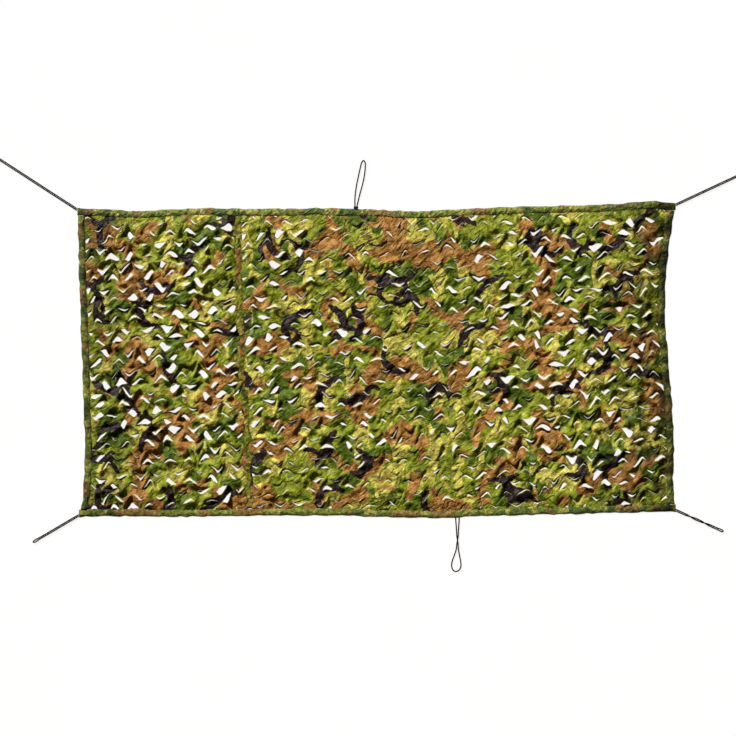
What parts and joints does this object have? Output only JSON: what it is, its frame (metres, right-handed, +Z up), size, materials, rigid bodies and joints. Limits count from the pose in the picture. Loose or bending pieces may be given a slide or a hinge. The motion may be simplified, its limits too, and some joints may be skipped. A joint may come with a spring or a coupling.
{
  "type": "camouflage net",
  "caption": "Leaf-cut camouflage net, 3.0 x 1.55 m, in two cloth widths, bound all round, with six cord loops, lying flat.",
  "frame": {"origin": "bottom centre of the cloth and its binding, cords left out, on the surface the net lies on", "axes": "+X along the net's length, +Y across it towards the edge with the two long corner ties, +Z up out of the cloth's upper side"},
  "size_m": [3.8425, 2.1188, 0.0207],
  "materials": {
    "printed_cloth": "matte",
    "binding_cloth": "matte",
    "join_cloth": "matte",
    "cord": "matte"
  },
  "bodies": {
    "root": {"binding_top": "binding_cloth", "binding_bottom": "binding_cloth", "binding_left": "binding_cloth", "binding_right": "binding_cloth", "join_band": "join_cloth", "cloth_left": "printed_cloth", "cloth_right": "printed_cloth", "cord_top_left": "cord", "cord_top_right": "cord", "cord_bottom_left": "cord", "cord_bottom_right": "cord", "cord_top_middle": "cord", "cord_bottom_middle": "cord"}
  },
  "joints": []
}
